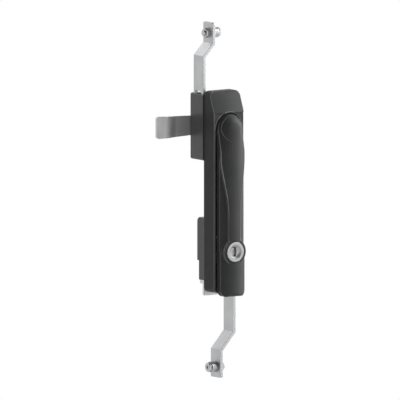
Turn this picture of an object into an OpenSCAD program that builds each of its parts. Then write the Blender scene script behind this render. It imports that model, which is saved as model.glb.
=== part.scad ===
// Cabinet rod lock: a swing handle in a tray, a rack and pinion gear box and two flat rods with rollers.
// +X is to the right seen from outside the door, +Y goes into the cabinet and +Z is up.
// The origin is the turning axis of the handle at the rear face of the tray, which lies on the door.

/* [Tray] */
// Width of the tray
tray_w = 33.5; // [32:0.1:38]
// Height of the tray above the turning axis
tray_top = 34.4; // [33:0.1:40]
// Length of the tray below the turning axis
tray_bottom = 154; // [148:0.5:180]
// Depth of the tray in front of the door
tray_depth = 17; // [16.5:0.1:19]
// Thickness of the tray's floor
tray_floor = 3; // [2.5:0.1:3.4]
// Thickness of the tray's rim
tray_rim = 2; // [1.6:0.1:2.4]
// Corner radius of the tray
tray_corner = 5.5; // [3:0.1:7]
// Height above the axis where the hood begins to slope back
hood_foot = 14.4; // [13:0.1:16]
// Slope of the hood, from upright
hood_angle = 22; // [18:1:26]
// Radius of the hood's upper front edge
hood_fillet = 4.8; // [3:0.1:5]
// Bulge of the hood's face at its middle
hood_bulge = 1.5; // [0.5:0.1:2]
// Radius of the tray's front edge
tray_edge = 1.2; // [0.6:0.1:1.5]
// Width of the seal in the tray's rear face
gasket_w = 2; // [1.5:0.1:2.5]
// Depth of the seal
gasket_t = 1.2; // [0.8:0.1:1.5]

/* [Lever] */
// Width of the lever
lever_w = 27; // [26:0.1:27.6]
// Length of the lever below the axis
lever_len = 157; // [152:0.5:182]
// Thickness of the lever at its crown
lever_t = 10.1; // [9.6:0.1:11]
// Height of the lever's straight side walls
lever_wall = 5.6; // [5:0.1:6.2]
// Radius of the lever's lower corners
lever_corner = 6; // [3:0.1:8]
// Radius of the lever's lower front edge
lever_nose = 4; // [2:0.1:5]
// Radius of the ball-shaped head
head_r = 14; // [13.6:0.1:14.2]
// Distance of the hinge pin in front of the door
hinge_y = 14; // [13.5:0.1:14.5]
// Radius of the hinge pin
hinge_pin_r = 3; // [2.5:0.1:3.4]
// Depth of the finger flanks below the crown
flank_step = 1.6; // [1:0.1:2.2]
// Distance below the axis where the flanks begin
flank_top = 23; // [20:0.5:28]
// Distance below the axis where the ridge is down to its least width
flank_mid = 80; // [70:1:90]
// Least width of the ridge between the flanks
ridge_w = 13.6; // [11:0.1:16]

/* [Lock] */
// Distance of the lock below the axis
lock_z = 114.9; // [110:0.1:118]
// Radius of the barrel's face
barrel_face_r = 9.25; // [9:0.05:9.6]
// Radius of the barrel's body
barrel_r = 8; // [7.6:0.1:8.4]
// Radius of the plug
plug_r = 6.2; // [5.8:0.1:6.6]
// Radius of the locking bolt
bolt_r = 3.5; // [3:0.1:4]
// Travel of the locking bolt
bolt_travel = 6; // [4:0.1:6.5]
// Width of the keyway
keyway_w = 2.4; // [1.4:0.1:2.6]
// Length of the keyway
keyway_len = 8.6; // [6:0.1:9.5]
// Radius of the raised land round the lock
boss_r = 12.4; // [11.6:0.1:13]

/* [Gear box] */
// Width of the gear box
box_w = 36; // [35.6:0.1:40]
// Height of the gear box
box_h = 62.2; // [60:0.1:80]
// Wall of the gear box
box_wall = 1.2; // [1:0.1:1.5]
// Thickness of the gear box cover
cover_t = 2.1; // [1.8:0.1:3]
// Corner radius of the gear box
box_corner = 2; // [1:0.1:3]
// Radius of the drive shaft
shaft_r = 5; // [4.5:0.1:5.4]
// Side of the square end of the shaft
square_w = 7; // [6:0.1:7.2]
// Outer radius of the bush
bush_r = 7; // [6.4:0.1:8]
// Pitch radius of the pinion, to the middle of each rod
pitch_r = 15; // [14.8:0.1:15.2]
// Number of teeth of the pinion
tooth_count = 12; // [11:1:13]
// Height of a tooth above the pitch radius
tooth_tip = 1.2; // [0.9:0.1:1.3]
// Thickness of a tooth at its root
tooth_root_w = 2.8; // [2.4:0.1:3]
// Thickness of a tooth at its tip
tooth_tip_w = 1.6; // [1.2:0.1:1.8]
// Face width of the pinion's teeth
pinion_face = 9; // [7:0.1:10]
// Radius of the pinion's hub
hub_r = 9; // [8:0.1:10]

/* [Cam] */
// Reach of the cam from the axis
cam_reach = 55; // [45:0.5:60]
// Thickness of the cam
cam_t = 3; // [2.5:0.1:4]
// Height of the cam near the box
cam_h = 17.1; // [15:0.1:20]
// Height of the cam near its tip
cam_tip_h = 20.7; // [17:0.1:24]
// Forward bulge of the cam near its tip
cam_bulge = 1.6; // [0:0.1:2]
// Radius of the cam's tip corners
cam_corner = 2.5; // [1.5:0.1:4]

/* [Rods] */
// Width of a rod
rod_w = 16; // [15:0.1:17]
// Thickness of a rod
rod_t = 3; // [2.6:0.1:3.2]
// Sideways step of each rod's joggle
joggle = 10.8; // [8:0.1:11.5]
// Height of the upper rod's first bend
upper_bend = 66; // [62:0.5:90]
// Height of the upper rod's joggle
upper_rise = 11.4; // [10:0.1:16]
// Height of the upper rod's end
upper_end = 97.2; // [95:0.1:130]
// Distance of the lower rod's first bend below the axis
lower_bend = 193.8; // [190:0.1:220]
// Height of the lower rod's joggle
lower_rise = 16.6; // [12:0.1:20]
// Distance of the lower rod's end below the axis
lower_end = 236.2; // [234:0.1:262]
// Sideways step of the lower rod below the gear box
lower_shift = 3.6; // [1:0.1:4]
// Distance of that step below the axis
shift_at = 62; // [60:0.5:70]
// Height of that step
shift_rise = 8; // [6:0.1:10]
// Distance of each roller's axis from the rod's end
roller_inset = 10; // [8:0.1:11]
// Radius of a roller
roller_r = 5; // [4.5:0.1:6]
// Length of a roller
roller_len = 6; // [5:0.1:8]
// Radius of a roller bolt
pivot_r = 2.5; // [2:0.1:3]

/* [Lower box] */
// Width of the lower box
latch_w = 26; // [22:0.1:26.2]
// Distance of the lower box's top below the axis
latch_top = 85.6; // [78:0.1:90]
// Distance of its step below the axis
latch_step = 126; // [122:0.1:130]
// Distance of its bottom below the axis
latch_bottom = 144; // [140:0.1:145]
// Depth of the lower box behind the door's outer face
latch_depth = 16.8; // [14:0.1:20]
// Depth of its stepped lower end
latch_foot_depth = 14; // [11:0.1:16]
// Radius of its upper rear edge
latch_round = 4; // [2:0.1:6]

/* [Lower bracket] */
// Thickness of the bracket
bracket_t = 2.2; // [1.8:0.1:3]
// Height of the bracket plate
bracket_h = 11.5; // [11:0.1:13]
// Distance that the bracket shows below the tray
bracket_drop = 3.5; // [2:0.1:5]

/* [Clearances] */
// Running clearance of a shaft or pin, on the radius
run_gap = 0.05; // [0.02:0.01:0.1]
// Clearance between pieces of one body, on the radius
seat_gap = 0.05; // [0.02:0.01:0.1]
// Clearance between moving faces
slide_gap = 0.3; // [0.25:0.01:0.35]

/* [Hidden] */
$fn = 64;
past = 1;

tray_x = tray_w / 2;
pocket_x = tray_x - tray_rim;
hood_cy = -tray_depth + ((tray_top - hood_fillet - hood_foot) * sin(hood_angle) + hood_fillet)
    / cos(hood_angle);
hood_r = (tray_x * tray_x + hood_bulge * hood_bulge) / (2 * hood_bulge);
gasket_inset = 1;

lever_x = lever_w / 2;
lever_rear = -tray_depth - slide_gap;
lever_front = lever_rear - lever_t;
crown_sag = lever_t - lever_wall;
crown_r = (lever_x * lever_x + crown_sag * crown_sag) / (2 * crown_sag);
flank_parts = 14;

yoke_rear = -tray_floor - slide_gap;
yoke_base_t = 3;
yoke_base_r = 10;
tongue_x = 5.5;
cheek_x = 11;
cheek_r = hinge_y + yoke_rear - yoke_base_t - 0.6;
tongue_r = cheek_r - 0.2;
slot_r = tongue_r + 1.6;
socket_depth = 2;

barrel_seat = lever_front + 1.8;
barrel_face = lever_front - 0.6;
boss_face = lever_front + 0.7;
barrel_ring_gap = 0.5;
plug_face = barrel_face + 1.6;
lock_rear = lever_rear - 0.2;
bolt_len = bolt_travel + 1.5;
keyway_depth = 2;
keeper_wall = 3.5;
keeper_base_t = 1.5;
keeper_base_z = 13;
keeper_corner = 3;
keeper_gap = 1;

box_front = 0;
rod_front = box_front + box_wall + slide_gap;
rod_rear = rod_front + rod_w;
rod_mid = (rod_front + rod_rear) / 2;
box_rear = rod_rear + slide_gap + 0.6;
cover_rear = box_rear + cover_t;
box_x = box_w / 2;
rod_lane = rod_t / 2 + slide_gap;

tooth_pitch = 2 * PI * pitch_r / tooth_count;
tooth_root_r = pitch_r - rod_t / 2 - slide_gap - 0.2;
window_h = 4.4;
window_w = pinion_face + 2 * slide_gap + 0.6;
window_first = -1;
window_last = ceil(tooth_count / 4) + 1;
rack_tail = tooth_pitch + window_h / 2 + 2.5;
rod_corner = 2;

cross_pin_r = 1.5;
cross_pin_y = box_rear - slide_gap - cross_pin_r - 0.6;
cam_front = cover_rear + slide_gap;
cam_rear = cam_front + cam_t;
cam_flat = box_h / 2 + 2;
cam_parts = 16;
washer_r = 8;
washer_t = 1.2;
cam_screw_r = 2.5;
cam_screw_end = cross_pin_y + cross_pin_r + 1;
cam_screw_flats = 10;
cam_screw_head = 4;

screw_r = 2;
screw_head_r = 4;
screw_head_t = 2;
screw_hex = 2.5;
screw_hex_depth = 1.4;
gearbox_screw_inset = 6.1;
gearbox_screw_z = box_h / 2 - gearbox_screw_inset;
latch_screw_inset = 7;
latch_screw_z = [latch_top + latch_screw_inset, latch_bottom - latch_screw_inset];
small_screw_r = 1.5;
small_head_r = 2.8;
small_head_t = 1.2;
bracket_screw_x = [-10, 4];
bracket_low = tray_bottom + bracket_drop;
bracket_high = bracket_low - bracket_h;
bracket_screw_inset = 5;
bracket_screw_z = tray_bottom - bracket_screw_inset;
guide_t = 2;
guide_wall = 2.5;
guide_root = 6;
bracket_corner = 1.5;
guide_low = bracket_high + guide_t;

pivot_x = -pitch_r + joggle;
roller_x = pivot_x + rod_t / 2 + slide_gap;
bolt_head_x = roller_x + roller_len + slide_gap;
bolt_head_t = 2.5;
bolt_hex = 3;
bolt_hex_depth = 1.3;
bolt_chamfer = 0.7;
nut_flats = 8;
nut_t = 4;
bolt_tail = 1.7;

black = "#2c2d2e";
zinc = "#c9cbcc";
steel = "#9a9c9d";

// A flat shape drawn in X and Z, pulled from y0 to y1
module along_y(y0, y1) {
    translate([0, y1, 0]) rotate([90, 0, 0]) linear_extrude(y1 - y0) children();
}

// A flat shape drawn in Y and Z, pulled from x0 to x1
module along_x(x0, x1) {
    translate([x0, 0, 0]) rotate([90, 0, 90]) linear_extrude(x1 - x0) children();
}

// A round bar along Y
module bar_y(r, y0, y1) {
    translate([0, y0, 0]) rotate([-90, 0, 0]) cylinder(r = r, h = y1 - y0);
}

// A round bar along X
module bar_x(r, x0, x1) {
    translate([x0, 0, 0]) rotate([0, 90, 0]) cylinder(r = r, h = x1 - x0);
}

// A six-sided bar along X or Y, by its width across flats
module hex_x(flats, x0, x1) {
    translate([x0, 0, 0]) rotate([0, 90, 0]) cylinder(d = flats / cos(30), h = x1 - x0, $fn = 6);
}
module hex_y(flats, y0, y1) {
    translate([0, y0, 0]) rotate([-90, 0, 0]) cylinder(d = flats / cos(30), h = y1 - y0, $fn = 6);
}

// A rectangle with round corners
module rounded(x0, z0, x1, z1, r) {
    translate([x0 + r, z0]) square([x1 - x0 - 2 * r, z1 - z0]);
    translate([x0, z0 + r]) square([x1 - x0, z1 - z0 - 2 * r]);
    for (x = [x0 + r, x1 - r], z = [z0 + r, z1 - r]) translate([x, z]) circle(r);
}

// A countersunk screw along Y with its face at y_face, or the hole for it
module countersunk(r, head_r, head_t, y_tip, y_face, grow = 0) {
    bar_y(r + grow, y_tip, y_face);
    translate([0, y_face - head_t, 0]) rotate([-90, 0, 0])
        cylinder(r1 = r + grow, r2 = head_r + grow, h = head_t);
}

// The same screw with its hexagon socket
module socket_screw(r, head_r, head_t, y_tip, y_face, hex) {
    difference() {
        countersunk(r, head_r, head_t, y_tip, y_face);
        hex_y(hex, y_face - screw_hex_depth, y_face + past);
    }
}

// The tray

// The tray from the side, with the slope of its hood moved forward
module tray_side(forward) {
    foot = [-tray_depth - forward / cos(hood_angle), hood_foot];
    middle = [hood_cy - forward / cos(hood_angle), tray_top - hood_fillet];
    tangent = middle + hood_fillet * [-cos(hood_angle), sin(hood_angle)];
    polygon([[0, -tray_bottom], [0, tray_top], [middle[0], tray_top], tangent, foot,
        [foot[0], -tray_bottom]]);
    translate(middle) circle(hood_fillet);
}

module tray_face(inset) {
    rounded(-tray_x + inset, -tray_bottom + inset, tray_x - inset, tray_top - inset, tray_corner - inset);
}

// The dish with its rounded front edge
module tray_dish() {
    intersection() {
        along_y(-tray_depth, 0) tray_face(0);
        along_x(-tray_x, tray_x) tray_side(0);
        translate([0, 0, -tray_bottom]) linear_extrude(tray_bottom + tray_top)
            rounded(-tray_x, -tray_depth, tray_x, tray_depth, tray_edge);
    }
}

// The hood, whose sloped face bulges a little between its side edges
module tray_hood() {
    intersection() {
        along_y(-2 * tray_depth, 0) tray_face(0);
        along_x(-tray_x, tray_x) tray_side(hood_bulge);
        translate([0, -tray_depth, hood_foot]) rotate([-hood_angle, 0, 0])
            translate([0, hood_r - hood_bulge, -tray_top]) cylinder(r = hood_r, h = 3 * tray_top, $fn = 180);
        translate([-tray_x, -2 * tray_depth, hood_foot]) cube([tray_w, 2 * tray_depth, tray_top]);
    }
}

module gasket_shape(grow) {
    difference() {
        tray_face(gasket_inset - grow);
        tray_face(gasket_inset + gasket_w + grow);
    }
}

// A threaded hole in the tray's floor
module floor_hole(r, x, z) {
    translate([x, 0, z]) bar_y(r + seat_gap, -tray_floor - past, past);
}

module tray() {
    color(black) difference() {
        union() {
            tray_dish();
            tray_hood();
        }
        along_y(-tray_depth - past, -tray_floor) {
            rounded(-pocket_x, -tray_bottom + tray_rim, pocket_x, 0, tray_corner - tray_rim);
            translate([-pocket_x, -pocket_x]) square([2 * pocket_x, pocket_x]);
        }
        bar_y(pocket_x, -2 * tray_depth, -tray_floor);
        bar_y(bush_r + seat_gap, -tray_floor - past, past);
        along_y(-gasket_t, past) gasket_shape(seat_gap);
        for (z = [-gearbox_screw_z, gearbox_screw_z]) floor_hole(screw_r, 0, z);
        for (z = latch_screw_z) floor_hole(screw_r, 0, -z);
        for (x = bracket_screw_x) floor_hole(small_screw_r, x, -bracket_screw_z);
    }
}

module tray_gasket() {
    color("#202122") along_y(-gasket_t, 0) gasket_shape(0);
}

module shaft_bush() {
    color("#b79a5a") difference() {
        bar_y(bush_r, -tray_floor, 0);
        bar_y(shaft_r + run_gap, -tray_floor - past, past);
    }
}

// The gear box

module box_outline(inset) {
    rounded(-box_x + inset, -box_h / 2 + inset, box_x - inset, box_h / 2 - inset, box_corner);
}

module gearbox_holes(grow) {
    for (z = [-gearbox_screw_z, gearbox_screw_z])
        translate([0, 0, z]) countersunk(screw_r, screw_head_r, screw_head_t, -past, cover_rear, grow);
}

module gearbox_housing() {
    color(black) difference() {
        along_y(box_front, box_rear) box_outline(0);
        along_y(box_front + box_wall, box_rear + past) box_outline(box_wall);
        for (x = [-pitch_r, pitch_r])
            translate([x - rod_lane, rod_front - slide_gap, -box_h])
                cube([2 * rod_lane, rod_w + 2 * slide_gap, 2 * box_h]);
        bar_y(shaft_r + slide_gap, 0, box_rear);
        gearbox_holes(seat_gap);
    }
}

module gearbox_cover() {
    color(black) difference() {
        along_y(box_rear, cover_rear) box_outline(0);
        bar_y(shaft_r + run_gap, box_rear - past, cover_rear + past);
        gearbox_holes(seat_gap);
    }
}

module gearbox_screws() {
    color(steel) for (z = [-gearbox_screw_z, gearbox_screw_z]) translate([0, 0, z])
        socket_screw(screw_r, screw_head_r, screw_head_t, -tray_floor, cover_rear, screw_hex);
}

// The lower box behind the lock

module latch_side() {
    rounded(box_front, -latch_step, latch_depth, -latch_top, latch_round);
    translate([box_front, -latch_bottom]) square([latch_foot_depth - box_front, latch_bottom - latch_step]);
    translate([box_front, -latch_step - past])
        square([latch_foot_depth - box_front, latch_step - latch_top + past]);
    translate([box_front, -latch_step])
        square([latch_depth - box_front, latch_step - latch_top - latch_round]);
}

module latch_screw_faces(grow, plain) {
    depth = [latch_depth, latch_foot_depth];
    for (i = [0, 1]) translate([0, 0, -latch_screw_z[i]]) {
        if (plain)
            socket_screw(screw_r, screw_head_r, screw_head_t, -tray_floor, depth[i], screw_hex);
        else
            countersunk(screw_r, screw_head_r, screw_head_t, -past, depth[i], grow);
    }
}

module latch_housing() {
    color(black) difference() {
        along_x(-latch_w / 2, latch_w / 2) latch_side();
        latch_screw_faces(seat_gap, false);
    }
}

module latch_screws() {
    color(steel) latch_screw_faces(0, true);
}

module keeper() {
    keeper_r = bolt_r + keeper_wall;
    color(steel) translate([0, 0, -lock_z]) difference() {
        union() {
            along_y(-tray_floor - keeper_base_t, -tray_floor)
                rounded(-keeper_r, -keeper_base_z, keeper_r, keeper_base_z, keeper_corner);
            bar_y(keeper_r, lever_rear + keeper_gap, -tray_floor);
        }
        bar_y(bolt_r + slide_gap, lever_rear, lever_rear + bolt_travel + 2 * keeper_gap);
    }
}

// The bracket that guides the lower rod

module lower_bracket() {
    guide_x = pitch_r + lower_shift;
    guide_x0 = guide_x - rod_lane - guide_wall;
    guide_x1 = guide_x + rod_lane + guide_wall;
    color(zinc) difference() {
        union() {
            along_y(0, bracket_t)
                rounded(-tray_x, -bracket_low, guide_x0, -bracket_high, bracket_corner);
            translate([guide_x0 - guide_root, 0, -guide_low])
                cube([guide_x1 - guide_x0 + guide_root, rod_rear + slide_gap + guide_wall, guide_t]);
        }
        translate([guide_x - rod_lane, rod_front - slide_gap, -guide_low - past])
            cube([2 * rod_lane, rod_w + 2 * slide_gap, guide_t + 2 * past]);
        bracket_screw_set() countersunk(small_screw_r, small_head_r, small_head_t, -past,
            bracket_t, seat_gap);
    }
}

module bracket_screw_set() {
    for (x = bracket_screw_x) translate([x, 0, -bracket_screw_z]) children();
}

module bracket_screws() {
    color(steel) bracket_screw_set()
        countersunk(small_screw_r, small_head_r, small_head_t, -tray_floor, bracket_t);
}

// What turns with the handle

module swivel_yoke() {
    color(steel) difference() {
        union() {
            bar_y(yoke_base_r, yoke_rear - yoke_base_t, yoke_rear);
            translate([0, -hinge_y, 0]) bar_x(tongue_r, -tongue_x, tongue_x);
            translate([-tongue_x, -hinge_y, -tongue_r])
                cube([2 * tongue_x, hinge_y + yoke_rear, 2 * tongue_r]);
        }
        translate([0, -hinge_y, 0]) bar_x(hinge_pin_r + run_gap, -tongue_x - past, tongue_x + past);
        bar_y(shaft_r + seat_gap, yoke_rear - socket_depth, yoke_rear + past);
    }
}

module drive_shaft() {
    color(steel) difference() {
        union() {
            bar_y(shaft_r, yoke_rear - socket_depth, cover_rear);
            along_y(cover_rear, cam_rear - 0.2) square(square_w, center = true);
        }
        translate([0, cross_pin_y, 0]) cylinder(r = cross_pin_r + seat_gap, h = 4 * shaft_r, center = true);
        bar_y(cam_screw_r + seat_gap, cam_screw_end - 0.5, cam_rear + past);
    }
}

module tooth() {
    tip_r = pitch_r + tooth_tip;
    polygon([[hub_r, -tooth_root_w / 2], [tooth_root_r, -tooth_root_w / 2], [tip_r, -tooth_tip_w / 2],
        [tip_r, tooth_tip_w / 2], [tooth_root_r, tooth_root_w / 2], [hub_r, tooth_root_w / 2]]);
}

module pinion() {
    web_r = tooth_root_r - 1.2;
    color(steel) difference() {
        union() {
            bar_y(hub_r, box_front + box_wall + slide_gap, box_rear - slide_gap);
            along_y(rod_mid - pinion_face / 2, rod_mid + pinion_face / 2) {
                circle(web_r);
                for (i = [0:tooth_count - 1]) rotate(i * 360 / tooth_count) tooth();
            }
        }
        bar_y(shaft_r + seat_gap, 0, cover_rear);
        translate([0, cross_pin_y, 0]) cylinder(r = cross_pin_r + seat_gap, h = 4 * hub_r, center = true);
    }
}

module pinion_pin() {
    color(zinc) translate([0, cross_pin_y, 0]) cylinder(r = cross_pin_r, h = 2 * hub_r - 0.6, center = true);
}

// How far the cam's plate lies in front of its flat part, at a distance from the axis
function bulge(x) = cam_bulge * (1 - cos(360 * (x - cam_flat) / (cam_reach - cam_flat))) / 2;

module cam() {
    stops = [for (i = [0:cam_parts]) cam_flat + (cam_reach - cam_flat) * i / cam_parts];
    front = [for (x = stops) [-x, cam_front - bulge(x)]];
    back = [for (i = [cam_parts:-1:0]) [-stops[i], cam_rear - bulge(stops[i])]];
    tip_z = cam_tip_h / 2 - cam_corner;
    color(steel) difference() {
        intersection() {
            linear_extrude(2 * cam_tip_h, center = true)
                polygon(concat([[cam_h, cam_front]], front, back, [[cam_h, cam_rear]]));
            along_y(cam_front - cam_bulge - past, cam_rear + past) {
                circle(cam_h / 2);
                polygon([[0, cam_h / 2], [-cam_reach + cam_corner, cam_tip_h / 2], [-cam_reach, tip_z],
                    [-cam_reach, -tip_z], [-cam_reach + cam_corner, -cam_tip_h / 2], [0, -cam_h / 2]]);
                for (z = [-tip_z, tip_z]) translate([-cam_reach + cam_corner, z]) circle(cam_corner);
            }
        }
        along_y(cam_front - past, cam_rear + past) square(square_w + 2 * seat_gap, center = true);
    }
}

module cam_washer() {
    color(zinc) difference() {
        bar_y(washer_r, cam_rear, cam_rear + washer_t);
        bar_y(cam_screw_r + seat_gap, cam_rear - past, cam_rear + washer_t + past);
    }
}

module cam_screw() {
    head_y = cam_rear + washer_t;
    color(zinc) {
        bar_y(cam_screw_r, cam_screw_end, head_y);
        hex_y(cam_screw_flats, head_y, head_y + cam_screw_head);
    }
}

// The lever

module lever_outline() {
    rounded(-lever_x, -lever_len, lever_x, -lever_len / 2, lever_corner);
    translate([-lever_x, -lever_len / 2 - lever_corner])
        square([lever_w, lever_len / 2 + lever_corner - flank_top]);
}

module lever_side() {
    low = -lever_len + lever_nose;
    translate([lever_front, low]) square([lever_t, -low]);
    translate([lever_front + lever_nose, -lever_len]) square([lever_t - lever_nose, lever_len]);
    translate([lever_front + lever_nose, low]) circle(lever_nose);
}

// The lever's cross-section, with its crown lowered
module crown(lower) {
    intersection() {
        translate([-lever_x, lever_front + lower]) square([lever_w, lever_t - lower]);
        translate([0, lever_front + lower + crown_r]) circle(crown_r);
    }
}

function ease(t) = (1 - cos(180 * t)) / 2;

// The part of the front that stands at full height: the ridge, the land round the lock and the lower end
module ridge() {
    half = [for (i = [0:flank_parts]) [lever_x + (ridge_w / 2 - lever_x) * ease(i / flank_parts),
        -flank_top - (flank_mid - flank_top) * i / flank_parts]];
    left = [for (i = [flank_parts:-1:0]) [-half[i][0], half[i][1]]];
    polygon(concat([[lever_x, -flank_top + past]], half, [[ridge_w / 2, -lock_z], [-ridge_w / 2, -lock_z]],
        left, [[-lever_x, -flank_top + past]]));
    translate([0, -lock_z]) circle(boss_r);
    translate([-lever_x, -lever_len]) square([lever_w, lever_len - lock_z]);
}

// One height of the lever below its head
module lever_layer(lower) {
    intersection() {
        along_y(lever_front - past, lever_rear) children();
        translate([0, 0, -lever_len]) linear_extrude(lever_len) crown(lower);
        along_x(-lever_x, lever_x) lever_side();
    }
}

module lever_head() {
    intersection() {
        translate([0, -hinge_y, 0]) sphere(head_r);
        translate([0, lever_front + crown_r, 0]) sphere(crown_r);
        translate([-head_r, -hinge_y - 2 * head_r, -head_r]) cube(2 * head_r);
    }
}

// The neck blends the ball into the lever's section
module lever_neck() {
    neck_fn = 40;
    intersection() {
        hull() {
            intersection() {
                translate([0, -hinge_y, 0]) sphere(head_r - 0.1, $fn = neck_fn);
                translate([0, lever_front + crown_r, 0]) sphere(crown_r, $fn = 2 * neck_fn);
            }
            translate([0, 0, -flank_top - past]) linear_extrude(past) crown(0, $fn = neck_fn);
        }
        translate([-lever_w, lever_front - past, -lever_len])
            cube([2 * lever_w, lever_t + past, 2 * lever_len]);
    }
}

module lever() {
    color(black) difference() {
        union() {
            lever_layer(flank_step) lever_outline();
            lever_layer(0) intersection() {
                lever_outline();
                ridge();
            }
            lever_head();
            lever_neck();
            translate([0, 0, -lock_z]) bar_y(boss_r, boss_face, lever_rear);
            for (x = [-cheek_x, tongue_x + slide_gap]) translate([0, -hinge_y, 0])
                bar_x(cheek_r, x, x + cheek_x - tongue_x - slide_gap);
        }
        translate([0, -hinge_y, 0]) {
            bar_x(slot_r, -tongue_x - slide_gap, tongue_x + slide_gap);
            bar_x(hinge_pin_r + seat_gap, -cheek_x, 2 * cheek_x);
        }
        translate([0, 0, -lock_z]) {
            bar_y(barrel_r + seat_gap, lever_front - past, lever_rear + past);
            bar_y(barrel_face_r + barrel_ring_gap, lever_front - past, barrel_seat);
        }
    }
}

module lever_pin() {
    color(zinc) translate([0, -hinge_y, 0]) bar_x(hinge_pin_r, -cheek_x + 0.1, cheek_x + 1);
}

module lock_barrel() {
    color(zinc) translate([0, 0, -lock_z]) difference() {
        union() {
            bar_y(barrel_face_r, barrel_face, barrel_seat);
            bar_y(barrel_r, barrel_seat, lever_rear);
        }
        bar_y(plug_r + run_gap, barrel_face - past, lever_rear + past);
    }
}

module lock_plug() {
    color(zinc) translate([0, 0, -lock_z]) difference() {
        bar_y(plug_r, plug_face, lock_rear);
        along_y(plug_face - past, plug_face + keyway_depth)
            square([keyway_w, keyway_len], center = true);
        bar_y(bolt_r + run_gap, lock_rear - bolt_len - 0.3, lock_rear + past);
    }
}

module lock_bolt() {
    color(steel) translate([0, 0, -lock_z]) bar_y(bolt_r, lock_rear - bolt_len, lock_rear);
}

// The rods, each with a roller on a bolt. The lower set is the upper one turned half round.

// The corners of a bend on one face of a rod, where it goes from one place to another
function bend_points(x0, z0, x1, z1, side) =
    let (miter = side * rod_t / 2 * tan(atan2(x1 - x0, z1 - z0) / 2))
    [[x0 - side * rod_t / 2, z0 + miter], [x1 - side * rod_t / 2, z1 + miter]];

// One face of a rod from its rack to its end; the shift takes it further out first
function rod_face(bend, rise, end, shift, side) = concat(
    [[-pitch_r - side * rod_t / 2, -rack_tail]],
    shift > 0 ? bend_points(-pitch_r, shift_at, -pitch_r - shift, shift_at + shift_rise, side) : [],
    bend_points(-pitch_r - shift, bend, pivot_x, bend + rise, side),
    [[pivot_x - side * rod_t / 2, end]]);

module flat_rod(bend, rise, end, shift) {
    inner = rod_face(bend, rise, end, shift, -1);
    color(zinc) difference() {
        intersection() {
            along_y(rod_front, rod_rear) polygon(concat(rod_face(bend, rise, end, shift, 1),
                [for (i = [len(inner) - 1:-1:0]) inner[i]]));
            along_x(-2 * pitch_r, 2 * pitch_r) rounded(rod_front, -rack_tail, rod_rear, end, rod_corner);
        }
        for (i = [window_first:window_last])
            translate([-2 * pitch_r, rod_mid - window_w / 2, i * tooth_pitch - window_h / 2])
                cube([2 * pitch_r, window_w, window_h]);
        translate([0, rod_mid, end - roller_inset])
            bar_x(pivot_r + seat_gap, -pitch_r, pitch_r);
    }
}

module roller(end) {
    color(zinc) translate([0, rod_mid, end - roller_inset]) difference() {
        bar_x(roller_r, roller_x, roller_x + roller_len);
        bar_x(pivot_r + run_gap, roller_x - past, roller_x + roller_len + past);
    }
}

// The turned chamfer round the hexagon head
module bolt_crown() {
    corner_r = nut_flats / 2 / cos(30);
    bar_x(corner_r, bolt_head_x, bolt_head_x + bolt_head_t - bolt_chamfer);
    translate([bolt_head_x + bolt_head_t - bolt_chamfer, 0, 0]) rotate([0, 90, 0])
        cylinder(r1 = corner_r, r2 = corner_r - bolt_chamfer, h = bolt_chamfer);
}

module roller_bolt(end) {
    color(zinc) translate([0, rod_mid, end - roller_inset]) {
        bar_x(pivot_r, pivot_x - rod_t / 2 - nut_t - bolt_tail, bolt_head_x);
        difference() {
            intersection() {
                hex_x(nut_flats, bolt_head_x, bolt_head_x + bolt_head_t);
                bolt_crown();
            }
            hex_x(bolt_hex, bolt_head_x + bolt_head_t - bolt_hex_depth, bolt_head_x + bolt_head_t + past);
        }
    }
}

module roller_nut(end) {
    nut_x = pivot_x - rod_t / 2;
    color(zinc) translate([0, rod_mid, end - roller_inset]) difference() {
        hex_x(nut_flats, nut_x - nut_t, nut_x);
        bar_x(pivot_r + seat_gap, nut_x - nut_t - past, nut_x + past);
    }
}

module turned() {
    rotate([0, 180, 0]) children();
}

module upper_rod() flat_rod(upper_bend, upper_rise, upper_end, 0);
module upper_bolt() roller_bolt(upper_end);
module upper_nut() roller_nut(upper_end);
module upper_roller() roller(upper_end);
module lower_rod() turned() flat_rod(lower_bend, lower_rise, lower_end, lower_shift);
module lower_bolt() turned() roller_bolt(lower_end);
module lower_nut() turned() roller_nut(lower_end);
module lower_roller() turned() roller(lower_end);

tray();
tray_gasket();
shaft_bush();
gearbox_housing();
gearbox_cover();
gearbox_screws();
latch_housing();
latch_screws();
keeper();
lower_bracket();
bracket_screws();
swivel_yoke();
drive_shaft();
pinion();
pinion_pin();
cam();
cam_washer();
cam_screw();
lever();
lever_pin();
lock_barrel();
lock_plug();
lock_bolt();
upper_rod();
upper_bolt();
upper_nut();
upper_roller();
lower_rod();
lower_bolt();
lower_nut();
lower_roller();
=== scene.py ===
import math

import bpy
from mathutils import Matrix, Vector
from mathutils.bvhtree import BVHTree


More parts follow.
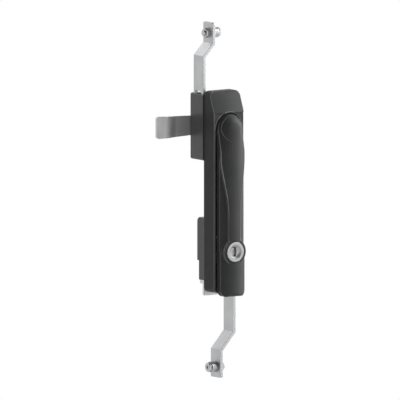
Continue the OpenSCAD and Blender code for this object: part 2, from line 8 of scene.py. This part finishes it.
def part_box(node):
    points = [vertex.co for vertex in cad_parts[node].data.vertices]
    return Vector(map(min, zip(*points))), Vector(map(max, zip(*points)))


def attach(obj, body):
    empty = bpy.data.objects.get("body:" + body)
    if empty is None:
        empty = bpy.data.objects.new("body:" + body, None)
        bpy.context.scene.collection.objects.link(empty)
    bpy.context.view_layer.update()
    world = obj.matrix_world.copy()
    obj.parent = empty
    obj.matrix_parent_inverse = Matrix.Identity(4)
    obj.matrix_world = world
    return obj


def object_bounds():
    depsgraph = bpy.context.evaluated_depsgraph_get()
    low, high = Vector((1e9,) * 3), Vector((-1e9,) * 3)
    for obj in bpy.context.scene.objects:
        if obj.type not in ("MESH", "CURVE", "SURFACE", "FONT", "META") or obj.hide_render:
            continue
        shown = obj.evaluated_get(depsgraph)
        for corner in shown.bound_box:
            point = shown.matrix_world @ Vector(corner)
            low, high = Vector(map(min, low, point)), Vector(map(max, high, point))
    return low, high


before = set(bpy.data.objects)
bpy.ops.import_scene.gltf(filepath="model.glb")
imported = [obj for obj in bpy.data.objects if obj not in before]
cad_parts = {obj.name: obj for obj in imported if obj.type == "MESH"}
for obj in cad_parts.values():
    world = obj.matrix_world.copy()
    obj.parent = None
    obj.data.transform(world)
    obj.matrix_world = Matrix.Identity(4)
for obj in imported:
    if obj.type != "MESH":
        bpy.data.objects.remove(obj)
cad_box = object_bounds()
MM = 0.001


# The tray is a long die-cast dish that lies on the outside of the door, with a sloped hood above the
# lever's round head. It is coated with a satin black powder that shows a fine orange peel.

COAT_BLACK = (0.058, 0.059, 0.060)
TRAY_DUST_AND_HIGHLIGHT = (0.50, 0.50, 0.502)
PEEL_SCALE = 1500
PEEL_DEPTH = 0.012 * MM
DUST_SCALE = 55
HIGHLIGHT_EDGE_WIDTH = 1.1 * MM
COAT_ROUND = 0.5 * MM
EDGE_RAYS = 6
WELD_GAP = 0.002 * MM
BEVEL_STEPS = 2
SHARP_ANGLE = math.radians(35)


class Tone:
    """A socket of a material's node tree, so that shader maths reads as sums and products."""

    def __init__(self, tree, socket=None):
        self.tree = tree
        self.socket = socket

    def node(self, kind, settings=None, inputs=None, output=0):
        """Adds a node with its settings, then its sockets' values or links, and gives one output."""
        made = self.tree.nodes.new(kind)
        for name, value in (settings or {}).items():
            if name == "stops":
                for stop, (place, level) in zip(made.color_ramp.elements, value):
                    stop.position = place
                    stop.color = (level, level, level, 1)
            else:
                setattr(made, name, value)
        for name, value in (inputs or {}).items():
            if isinstance(value, Tone):
                self.tree.links.new(value.socket, made.inputs[name])
            else:
                made.inputs[name].default_value = value
        return Tone(self.tree, made.outputs[output])

    def maths(self, operation, first, second):
        return self.node("ShaderNodeMath", {"operation": operation}, {0: first, 1: second})

    def vector(self, operation, other=None):
        """Vector maths on this socket. A length or a dot product is a value."""
        inputs = {0: self} if other is None else {0: self, 1: other}
        output = "Value" if operation in ("LENGTH", "DOT_PRODUCT") else "Vector"
        return self.node("ShaderNodeVectorMath", {"operation": operation}, inputs, output)

    def __add__(self, other):
        return self.maths("ADD", self, other)

    def __radd__(self, other):
        return self.maths("ADD", other, self)

    def __sub__(self, other):
        return self.maths("SUBTRACT", self, other)

    def __rsub__(self, other):
        return self.maths("SUBTRACT", other, self)

    def __mul__(self, other):
        return self.maths("MULTIPLY", self, other)

    def __rmul__(self, other):
        return self.maths("MULTIPLY", other, self)


def new_finish(name, metallic, specular=0.5):
    """A material, its shader and the place of each point in metres."""
    material = bpy.data.materials.new(name)
    material.use_nodes = True
    shader = material.node_tree.nodes["Principled BSDF"]
    shader.inputs["Metallic"].default_value = metallic
    shader.inputs["Specular IOR Level"].default_value = specular
    place = Tone(material.node_tree).node("ShaderNodeTexCoord", output="Object")
    return material, shader, place


def speckle(place, scale, detail=2.0, stretch=(1, 1, 1)):
    """Soft noise from 0 to 1, drawn out along an axis where stretch is small."""
    spread = place.node("ShaderNodeMapping", None, {"Vector": place, "Scale": stretch})
    return place.node("ShaderNodeTexNoise", None, {"Vector": spread, "Scale": scale, "Detail": detail})


def sharp_edge_mask(place, radius, upright=False):
    """1 along sharp edges and 0 on flat faces. The finishes make these edges paler; on the powder coats and
    the zinc that paler colour is a painted highlight.
    With upright, only edges between faces that turn about Z count."""
    rounded = place.node("ShaderNodeBevel", {"samples": EDGE_RAYS}, {"Radius": radius})
    flat = place.node("ShaderNodeNewGeometry", output="Normal")
    level = 1.0
    if upright:
        rounded, flat = (way.vector("MULTIPLY", (1, 1, 0)) for way in (rounded, flat))
        level = flat.vector("LENGTH")
        rounded, flat = (way.vector("NORMALIZE") for way in (rounded, flat))
    sharp = (1 - rounded.vector("DOT_PRODUCT", flat)) * level
    return place.node("ShaderNodeValToRGB", {"stops": [(0.015, 0.0), (0.06, 1.0)]}, {"Fac": sharp})


def rounded_edge_highlight(place):
    """1 where a face turns half way between X and Y, as on the rounded upright edges of a casting. It masks
    a painted highlight there.
    """
    face = place.node("ShaderNodeNewGeometry", output="Normal")
    side = face.vector("MULTIPLY", (1, 0, 0)).vector("LENGTH")
    front = face.vector("MULTIPLY", (0, 1, 0)).vector("LENGTH")
    turned = side * front * 2
    return place.node("ShaderNodeValToRGB", {"stops": [(0.70, 0.0), (0.95, 1.0)]}, {"Fac": turned})


def blend_colours(place, factor, first, second):
    return place.node("ShaderNodeMix", {"data_type": "RGBA"},
                      {0: factor, 6: (*first, 1), 7: (*second, 1)}, 2)


def bump_from(place, height, depth, edge_radius):
    """Grain of the given depth in metres on a normal that is rounded at the edges."""
    rounded = place.node("ShaderNodeBevel", {"samples": EDGE_RAYS}, {"Radius": edge_radius})
    return place.node("ShaderNodeBump", None,
                      {"Strength": 1.0, "Distance": depth, "Height": height, "Normal": rounded})


def connect(shader, values):
    for name, value in values.items():
        shader.id_data.links.new(value.socket, shader.inputs[name])


def powder_coat(name, dark, painted_patch, rough, specular, round_highlight=False):
    """Black powder coat: orange peel, dusty patches, and shinier upright edges whose pale colour is a
    painted highlight. When asked, the rounded upright edges get the painted highlight too.
    """
    material, shader, place = new_finish(name, 0.0, specular)
    peel = speckle(place, PEEL_SCALE, 1.0)
    dust = speckle(place, DUST_SCALE, 4.0)
    edge = sharp_edge_mask(place, HIGHLIGHT_EDGE_WIDTH, True)
    painted_shine = edge.maths("MAXIMUM", edge, rounded_edge_highlight(place)) if round_highlight else edge
    connect(shader, {
        "Base Color": blend_colours(place, painted_shine * 0.9 + dust * 0.10, dark, painted_patch),
        "Roughness": rough + dust * 0.10 - edge * 0.08,
        "Normal": bump_from(place, peel, PEEL_DEPTH, COAT_ROUND),
    })
    return material


def dress(node, material, bevel=0.0):
    """Gives a piece its finish, and rounds its sharp edges by the bevel in mm."""
    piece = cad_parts[node]
    piece.data.materials.clear()
    piece.data.materials.append(material)
    if bevel:
        weld = piece.modifiers.new("weld", "WELD")
        weld.merge_threshold = WELD_GAP
        edges = piece.modifiers.new("edges", "BEVEL")
        edges.width = bevel * MM
        edges.segments = BEVEL_STEPS
        edges.limit_method = "ANGLE"
        edges.angle_limit = SHARP_ANGLE
        edges.use_clamp_overlap = False
    return piece


# The tray's upright edges, sharp and rounded, are painted pale as a highlight, and its dusty patches lean a
# little to the same pale colour.
black_coat = powder_coat("satin_black_powder_coat", COAT_BLACK, TRAY_DUST_AND_HIGHLIGHT, 0.46, 0.15, True)
tray = dress("tray", black_coat)


# A fine lip rises from the tray's left rim and arches over the lever's head, where the dish ends below the
# hood. It is cast with the tray, and its pale coat is a painted highlight. It gets thin toward the lever's
# turning path.

LIP_REACH = 15.5 * MM
LIP_BEAD = 0.6 * MM
LIP_START = 58
LIP_END = 182
LIP_STEPS = 90
THIN_END = 0.1
BEAD_SIDES = 8
INWARD = Vector((0, 1, 0))


def arc(reach, start, end, steps):
    """Points about the handle's axis, seen from the front, between two angles in degrees."""
    turns = [math.radians(start + (end - start) * step / steps) for step in range(steps + 1)]
    return [reach * Vector((math.cos(turn), 0, math.sin(turn))) for turn in turns]


def new_piece(name, points, faces, material):
    """A piece of its own, from its points in metres and its faces."""
    mesh = bpy.data.meshes.new(name)
    mesh.from_pydata(points, [], faces)
    mesh.materials.append(material)
    piece = bpy.data.objects.new(name, mesh)
    bpy.context.scene.collection.objects.link(piece)
    return piece


def raised_line(name, carrier, path, swell, material):
    """A bead of round section along a path on the carrier's front face. The swell is its radius in metres,
    from the share of the path that is behind."""
    face = BVHTree.FromObject(carrier, bpy.context.evaluated_depsgraph_get())
    last = len(path) - 1
    points = []
    for step, spot in enumerate(path):
        onward = (path[min(step + 1, last)] - path[max(step - 1, 0)]).normalized()
        out = INWARD.cross(onward)
        centre = face.ray_cast(spot - INWARD, INWARD)[0]
        bead = swell(step / last)
        for side in range(BEAD_SIDES):
            lean = 2 * math.pi * side / BEAD_SIDES
            points.append(centre + bead * (out * math.cos(lean) + INWARD * math.sin(lean)))
    count = len(points)
    faces = [range(BEAD_SIDES)[::-1], range(count - BEAD_SIDES, count)]
    for start in range(0, last * BEAD_SIDES, BEAD_SIDES):
        for side in range(BEAD_SIDES):
            here, beside = start + side, start + (side + 1) % BEAD_SIDES
            faces.append((here, beside, beside + BEAD_SIDES, here + BEAD_SIDES))
    line = new_piece(name, points, faces, material)
    line.data.shade_smooth()
    return line


def lip_height(along):
    return LIP_BEAD * (THIN_END + (1 - THIN_END) * min(1.0, 2 * along))


# This pale coat, on the lip and on the lever's edge lines, is a painted highlight.
highlight_line_coat = powder_coat("painted_highlight_line_coat", (0.27, 0.27, 0.272), (0.38, 0.38, 0.382), 0.40, 0.25)
lip_path = arc(LIP_REACH, LIP_START, LIP_END, LIP_STEPS)
lip = raised_line("hood_lip", tray, lip_path, lip_height, highlight_line_coat)
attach(lip, "base")


# The seal is a flat ring of soft black rubber. It lies in a groove of the tray's rear face, and is squeezed
# against the door when the lock is clamped.

RUBBER_SCALE = 900
RUBBER_DEPTH = 0.02 * MM
RUBBER_ROUND = 0.2 * MM


def sealing_rubber():
    material, shader, place = new_finish("sealing_rubber", 0.0, 0.3)
    grain = speckle(place, RUBBER_SCALE, 3.0)
    connect(shader, {
        "Base Color": blend_colours(place, grain, (0.012, 0.012, 0.012), (0.03, 0.03, 0.03)),
        "Roughness": 0.75 + grain * 0.12,
        "Normal": bump_from(place, grain, RUBBER_DEPTH, RUBBER_ROUND),
    })
    return material


dress("tray_gasket", sealing_rubber())


# The gear box and the lower box are pressed and moulded black housings on the inside of the door, held by
# screws. Their coat is smoother and glossier than the tray's.

BOX_BLACK = (0.090, 0.091, 0.092)
BOX_PALE = (0.22, 0.22, 0.222)
FLOW_SCALE = 260
FLOW_DEPTH = 0.006 * MM
BOX_DUST_SCALE = 40
BOX_ROUND = 0.35 * MM


def smooth_black(name):
    """Smooth black coat: a slight flow, dusty patches and edges made paler."""
    material, shader, place = new_finish(name, 0.0)
    flow = speckle(place, FLOW_SCALE)
    dust = speckle(place, BOX_DUST_SCALE, 4.0)
    edge = sharp_edge_mask(place, BOX_ROUND)
    connect(shader, {
        "Base Color": blend_colours(place, edge * 0.7 + dust * 0.15, BOX_BLACK, BOX_PALE),
        "Roughness": 0.30 + dust * 0.10,
        "Normal": bump_from(place, flow, FLOW_DEPTH, BOX_ROUND),
    })
    return material


black_box = smooth_black("smooth_black_coat")
for node, bevel in (("gearbox_housing", 0.0), ("gearbox_cover", 0.2), ("latch_housing", 0.3)):
    dress(node, black_box, bevel)


# The flat rods and the lower bracket are cut from steel strip, bent cold and zinc plated bright.
# The strip keeps faint rolling lines along its length and a cloudy plating.

ROLLING_SCALE = 900
ROLLING_DEPTH = 0.004 * MM
CLOUD_SCALE = 90
PLATE_EDGE = 0.3 * MM
PLATE_ROUND = 0.35 * MM
ALONG_Z = (1.0, 1.0, 0.03)
EVEN = (1.0, 1.0, 1.0)


def zinc_plate(name, pale, shaded, rough, lines, metallic=1.0):
    """Zinc plating: rolling lines, cloudy patches, and a painted highlight along the edges, which are made
    paler.
    """
    material, shader, place = new_finish(name, metallic)
    rolling = speckle(place, ROLLING_SCALE, 3.0, lines)
    cloud = speckle(place, CLOUD_SCALE, 4.0)
    edge = sharp_edge_mask(place, PLATE_EDGE)
    connect(shader, {
        "Base Color": blend_colours(place, cloud * 0.7 + rolling * 0.3 - edge * 0.4, pale, shaded),
        "Roughness": rough + cloud * 0.12 + rolling * 0.06,
        "Normal": bump_from(place, rolling, ROLLING_DEPTH, PLATE_ROUND),
    })
    return material


bright_zinc = zinc_plate("bright_zinc_strip", (0.58, 0.585, 0.59), (0.44, 0.445, 0.45), 0.38, ALONG_Z)
for node in ("upper_rod", "lower_rod"):
    dress(node, bright_zinc, 0.3)

# The bracket and the catch below take a brighter copy of this zinc, a painted lift of light for pieces that
# lie in shade low on the lock.
brightened_zinc = zinc_plate("brightened_zinc_bracket", (0.88, 0.88, 0.88), (0.74, 0.74, 0.74), 0.40, EVEN, 0.7)
dress("lower_bracket", brightened_zinc, 0.2)


# A short plated block shows below the lower box, like the end of a catch inside it. It is cut from steel bar
# with rounded edges, plated as the bracket is in the same brightened zinc, a painted lift of light, and
# stays with the box.

CATCH_LOW = (-12.8 * MM, 5.4 * MM, -147.4 * MM)
CATCH_HIGH = (-4.0 * MM, 12.8 * MM, -143.6 * MM)
CATCH_ROUND = 0.6 * MM
CATCH_STEPS = 3
BLOCK_FACES = [(0, 1, 3, 2), (4, 6, 7, 5), (0, 4, 5, 1), (2, 3, 7, 6), (0, 2, 6, 4), (1, 5, 7, 3)]

across, deep, tall = zip(CATCH_LOW, CATCH_HIGH)
catch_corners = [(x, y, z) for x in across for y in deep for z in tall]
catch_end = new_piece("catch_end", catch_corners, BLOCK_FACES, brightened_zinc)
rounding = catch_end.modifiers.new("rounding", "BEVEL")
rounding.width = CATCH_ROUND
rounding.segments = CATCH_STEPS
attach(catch_end, "base")


# The cam is a thicker tongue of steel, pressed to a shallow curve, with a duller and darker plating.
# A screw and a washer hold it on the rear end of the drive shaft.

ALONG_X = (0.04, 1.0, 1.0)
dull_zinc = zinc_plate("dull_zinc_tongue", (0.74, 0.74, 0.75), (0.60, 0.60, 0.61), 0.46, ALONG_X, 0.8)
dress("cam", dull_zinc, 0.15)


# Screws, bolts, nuts, washer, pins, the locking bolt and its keeper are turned or headed from steel, with a
# plain zinc plating. Each is screwed or pressed into what it holds, or slides in it.

plain_zinc = zinc_plate("plain_zinc_fixing", (0.60, 0.60, 0.61), (0.40, 0.40, 0.41), 0.30, EVEN)
for node in ("gearbox_screws", "latch_screws", "bracket_screws", "keeper", "pinion_pin", "cam_washer",
             "cam_screw", "lever_pin", "lock_bolt", "upper_bolt", "upper_nut", "lower_bolt", "lower_nut"):
    dress(node, plain_zinc)


# The swivel, the shaft and the pinion are machined from steel and lie inside the tray and the gear box.
# Oil darkens them in patches.

MARKS_SCALE = 1200
MARKS_DEPTH = 0.005 * MM
OIL_SCALE = 70
STEEL_ROUND = 0.3 * MM


def machined_steel(name):
    material, shader, place = new_finish(name, 1.0)
    marks = speckle(place, MARKS_SCALE)
    oil = speckle(place, OIL_SCALE, 3.0)
    connect(shader, {
        "Base Color": blend_colours(place, oil, (0.36, 0.36, 0.37), (0.22, 0.22, 0.22)),
        "Roughness": 0.28 + marks * 0.15,
        "Normal": bump_from(place, marks, MARKS_DEPTH, STEEL_ROUND),
    })
    return material


oiled_steel = machined_steel("oiled_machined_steel")
for node in ("swivel_yoke", "drive_shaft", "pinion"):
    dress(node, oiled_steel)


# The bush is turned from brass and pressed into the tray's floor, for the shaft to turn in.
# Fine marks run along it.

BRASS_SCALE = 1400
BRASS_DEPTH = 0.004 * MM
BRASS_ROUND = 0.3 * MM
ALONG_Y = (1.0, 0.05, 1.0)


def turned_brass(name):
    material, shader, place = new_finish(name, 1.0)
    marks = speckle(place, BRASS_SCALE, 2.0, ALONG_Y)
    connect(shader, {
        "Base Color": blend_colours(place, marks, (0.70, 0.52, 0.22), (0.55, 0.38, 0.14)),
        "Roughness": 0.25 + marks * 0.15,
        "Normal": bump_from(place, marks, BRASS_DEPTH, BRASS_ROUND),
    })
    return material


dress("shaft_bush", turned_brass("turned_brass"))


# The lever is cast in the same metal as the tray and hinged on the swivel by a pin. It has the same black
# coat, rubbed a little smoother by hands, and its upright edges are painted pale as a highlight.

LEVER_DUST_AND_HIGHLIGHT = (0.40, 0.40, 0.402)
lever = dress("lever", powder_coat("hand_rubbed_coat_painted_edges", COAT_BLACK, LEVER_DUST_AND_HIGHLIGHT, 0.42, 0.16))


# A fine raised line runs round the left of the lever's head, over its pivot. It is cast with the lever and
# follows the head's curved face. Its pale coat is a painted highlight, and it dies away at both ends.

RING_REACH = 11.8 * MM
RING_BEAD = 0.4 * MM
RING_START = 85
RING_END = 270
RING_STEPS = 90


def ring_height(along):
    return RING_BEAD * max(THIN_END, math.sin(math.pi * along) ** 1.5)


ring_highlight_coat = powder_coat("painted_highlight_ring_coat", (0.22, 0.22, 0.222), (0.32, 0.32, 0.322), 0.36, 0.3)
ring_path = arc(RING_REACH, RING_START, RING_END, RING_STEPS)
ring = raised_line("head_ring", lever, ring_path, ring_height, ring_highlight_coat)
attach(ring, "handle")


# On each side a second fine line follows the head, the lever's edge and then the ridge between the two
# finger flanks, down to the lock. It is the rolled edge of the casting, and its pale coat is a painted
# highlight.

EDGE_REACH = 13.1 * MM
EDGE_START = 150
EDGE_SIDE = 180
EDGE_TURN_STEPS = 16
EDGE_DROP = 101 * MM
EDGE_DROP_STEPS = 100
LEFT_BEAD = 0.5 * MM
RIGHT_BEAD = 0.25 * MM
LEVER_HALF = 13.5 * MM
RIDGE_HALF = 6.8 * MM
RIDGE_START = 23 * MM
RIDGE_END = 80 * MM
RIDGE_INSET = 0.2 * MM


def edge_place(drop):
    """Distance of the line from the lever's middle, at a drop below the axis."""
    share = min(1.0, max(0.0, (drop - RIDGE_START) / (RIDGE_END - RIDGE_START)))
    half = LEVER_HALF + (RIDGE_HALF - LEVER_HALF) * (1 - math.cos(math.pi * share)) / 2
    return min(EDGE_REACH, half - RIDGE_INSET)


def edge_swell(along):
    return max(THIN_END, min(1.0, 6 * along, 2.2 * (1 - along)))


for side, name, bead in ((-1, "lever_left_edge", LEFT_BEAD), (1, "lever_right_edge", RIGHT_BEAD)):
    head_turn = arc(EDGE_REACH, EDGE_START, EDGE_SIDE, EDGE_TURN_STEPS)
    edge_path = [Vector((-side * spot.x, 0, spot.z)) for spot in head_turn]
    for step in range(1, EDGE_DROP_STEPS + 1):
        drop = EDGE_DROP * step / EDGE_DROP_STEPS
        edge_path.append(Vector((side * edge_place(drop), 0, -drop)))
    edge_line = raised_line(name, lever, edge_path, lambda along: bead * edge_swell(along), highlight_line_coat)
    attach(edge_line, "handle")


# The lock's barrel is a turned sleeve with a satin nickel plating, set into the lever's lower end.
# Turning leaves fine rings on its face.

LOCK_LOW, LOCK_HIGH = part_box("lock_barrel")
LOCK_X = (LOCK_LOW[0] + LOCK_HIGH[0]) / 2
LOCK_Z = (LOCK_LOW[2] + LOCK_HIGH[2]) / 2
RINGS_SCALE = 4000
RINGS_DEPTH = 0.006 * MM
STAIN_SCALE = 240
NICKEL_ROUND = 0.3 * MM


def plain_nickel(centred, rings, stain):
    return blend_colours(centred, stain * 0.8 + rings * 0.2, (0.58, 0.58, 0.575), (0.42, 0.42, 0.415))


def satin_nickel(name, colour=plain_nickel):
    """Nickel plating with turned rings about the lock's axis, and a colour from place, rings and stain."""
    material, shader, place = new_finish(name, 0.6)
    centred = place.vector("SUBTRACT", (LOCK_X, 0, LOCK_Z))
    reach = centred.vector("MULTIPLY", (1, 0, 1)).vector("LENGTH")
    along = place.node("ShaderNodeCombineXYZ", None, {"X": reach})
    rings = place.node("ShaderNodeTexNoise", None, {"Vector": along, "Scale": RINGS_SCALE, "Detail": 2.0})
    stain = speckle(place, STAIN_SCALE, 4.0)
    connect(shader, {
        "Base Color": colour(centred, rings, stain),
        "Roughness": 0.28 + rings * 0.14,
        "Normal": bump_from(place, rings, RINGS_DEPTH, NICKEL_ROUND),
    })
    return material


dress("lock_barrel", satin_nickel("satin_nickel"), 0.3)


# The plug turns in the barrel and holds the keyway. It is turned and nickel plated too. Its face is painted
# darker grey in a tall oval round the slot as painted shade, and the slot's floor is painted near black as
# painted shade.

PLUG_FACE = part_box("lock_plug")[0][1]
DISH_HALF_WIDTH = 3.2 * MM
DISH_HALF_HEIGHT = 6.0 * MM
DARK_DEPTH = 0.6 * MM


def painted_slot_shade(centred, rings, stain):
    # The darker oval round the slot and the near black of faces deeper than DARK_DEPTH are painted shade of
    # the keyway.
    reach = centred.vector("MULTIPLY", (1 / DISH_HALF_WIDTH, 0, 1 / DISH_HALF_HEIGHT)).vector("LENGTH")
    painted_patch = centred.node("ShaderNodeValToRGB", {"stops": [(0.55, 1.0), (1.0, 0.0)]}, {"Fac": reach})
    depth = centred.node("ShaderNodeSeparateXYZ", None, {"Vector": centred}, "Y")
    dark = depth.maths("GREATER_THAN", depth, PLUG_FACE + DARK_DEPTH)
    return blend_colours(centred, painted_patch.maths("MAXIMUM", painted_patch * 0.62 + stain * 0.1, dark),
                         (0.50, 0.50, 0.495), (0.08, 0.08, 0.08))


dress("lock_plug", satin_nickel("painted_slot_shade_nickel", painted_slot_shade), 0.1)


# A turned ring with a sloped inner face closes the step between barrel and plug, and guides the key to its
# slot. It is nickel plated, sits on the plug and turns with it.

GUIDE_OUTER = 6.1 * MM
GUIDE_INNER = 4.5 * MM
GUIDE_FRONT = LOCK_LOW[1] + 0.2 * MM
GUIDE_REAR = PLUG_FACE + 0.05 * MM
GUIDE_STEPS = 72
GUIDE_SECTION = [(GUIDE_OUTER, GUIDE_FRONT), (GUIDE_OUTER, GUIDE_REAR), (GUIDE_INNER, GUIDE_REAR)]


def turned_ring(name, section, material):
    """A ring about the lock's axis, from its section as radius and depth."""
    sides = len(section)
    count = sides * GUIDE_STEPS
    points, faces = [], []
    for step in range(GUIDE_STEPS):
        turn = 2 * math.pi * step / GUIDE_STEPS
        points += [Vector((LOCK_X + reach * math.cos(turn), depth, LOCK_Z + reach * math.sin(turn)))
                   for reach, depth in section]
        for side in range(sides):
            here, beside = step * sides + side, step * sides + (side + 1) % sides
            faces.append((here, beside, (beside + sides) % count, (here + sides) % count))
    return new_piece(name, points, faces, material)


guide = turned_ring("key_guide", GUIDE_SECTION, satin_nickel("guide_nickel"))
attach(guide, "plug")


# Each roller is a ring turned from steel and plated bright. It spins on the bolt at the end of its rod, and
# fine marks run along its axis.

ROLLER_MARKS = (0.05, 1.0, 1.0)
bright_ring = zinc_plate("bright_turned_ring", (0.56, 0.56, 0.57), (0.36, 0.36, 0.37), 0.26, ROLLER_MARKS)
for node in ("upper_roller", "lower_roller"):
    dress(node, bright_ring)


# The studio is a pale floor below the lock and a pale wall behind it, both of plain paper. They are white to
# the camera and in reflections, and grey to the light.

FLOOR_Z = cad_box[0][2] - 40 * MM
FLOOR_FRONT = -3.0
WALL_Y = 0.9
WALL_TOP = 3.0
SHEET_HALF = 3.0


def studio_paper():
    material = bpy.data.materials.new("studio_paper")
    material.use_nodes = True
    tree = material.node_tree
    shader = tree.nodes["Principled BSDF"]
    shader.inputs["Base Color"].default_value = (0.3, 0.3, 0.3, 1)
    shader.inputs["Roughness"].default_value = 0.9
    paper = Tone(tree, shader.outputs[0])
    direct, glossy, through = (paper.node("ShaderNodeLightPath", output=ray) for ray in
                               ("Is Camera Ray", "Is Glossy Ray", "Is Transmission Ray"))
    seen = paper.maths("MAXIMUM", paper.maths("MAXIMUM", direct, glossy), through)
    white = paper.node("ShaderNodeEmission")
    mixed = paper.node("ShaderNodeMixShader", None, {0: seen, 1: paper, 2: white})
    connect(tree.nodes["Material Output"], {"Surface": mixed})
    return material


studio_white = studio_paper()
for name, (low_y, low_z), (high_y, high_z) in (("floor", (FLOOR_FRONT, FLOOR_Z), (WALL_Y, FLOOR_Z)),
                                               ("wall", (WALL_Y, FLOOR_Z), (WALL_Y, WALL_TOP))):
    corners = [(-SHEET_HALF, low_y, low_z), (SHEET_HALF, low_y, low_z),
               (SHEET_HALF, high_y, high_z), (-SHEET_HALF, high_y, high_z)]
    sheet = new_piece(name, corners, [(0, 1, 2, 3)], studio_white)


# Soft light: an even room, a broad panel at the front, a stronger one on the right, a narrow strip on the
# left and a weak panel behind and above. All point at the lock's middle.

PANEL_AIM = Vector((0, 0, -0.06))
ROOM_LIGHT = 0.12
scene = bpy.context.scene
scene.view_settings.view_transform = "Standard"
world = bpy.data.worlds.new("studio_room")
scene.world = world
world.use_nodes = True
room = world.node_tree.nodes["Background"]
room.inputs["Color"].default_value = (1, 1, 1, 1)
room.inputs["Strength"].default_value = ROOM_LIGHT


def soft_panel(name, place, size, power):
    """A rectangular lamp, with its place and size in metres and its power in watts."""
    lamp = bpy.data.lights.new(name, "AREA")
    lamp.shape = "RECTANGLE"
    lamp.size, lamp.size_y = size
    lamp.energy = power
    panel = bpy.data.objects.new(name, lamp)
    panel.location = place
    panel.rotation_euler = (PANEL_AIM - Vector(place)).to_track_quat("-Z", "Y").to_euler()
    scene.collection.objects.link(panel)


soft_panel("front_panel", (0.95, -0.95, 0.45), (0.9, 2.0), 9)
soft_panel("right_panel", (1.2, -0.32, 0.45), (1.0, 1.4), 21)
soft_panel("left_strip", (-1.0, -0.68, 0.1), (0.22, 1.2), 1.2)
soft_panel("back_top", (-0.2, 0.8, 0.75), (1.2, 0.5), 2.4)


# The camera looks from the left and a little from above, without perspective. Its frame is as wide as the
# square picture, and it aims beside the lock to put it where the picture has it.

AZIMUTH = math.radians(-34)
ELEVATION = math.radians(7)
FRAME_WIDTH = 372.1 * MM
AIM = Vector((-21.07, 0.0, -67.53)) * MM
DISTANCE = 2.0
lens = bpy.data.cameras.new("camera")
lens.type = "ORTHO"
lens.ortho_scale = FRAME_WIDTH
camera = bpy.data.objects.new("camera", lens)
toward = Vector((math.sin(AZIMUTH) * math.cos(ELEVATION), -math.cos(AZIMUTH) * math.cos(ELEVATION),
                 math.sin(ELEVATION)))
camera.location = AIM + toward * DISTANCE
camera.rotation_euler = toward.to_track_quat("Z", "Y").to_euler()
scene.collection.objects.link(camera)
scene.camera = camera
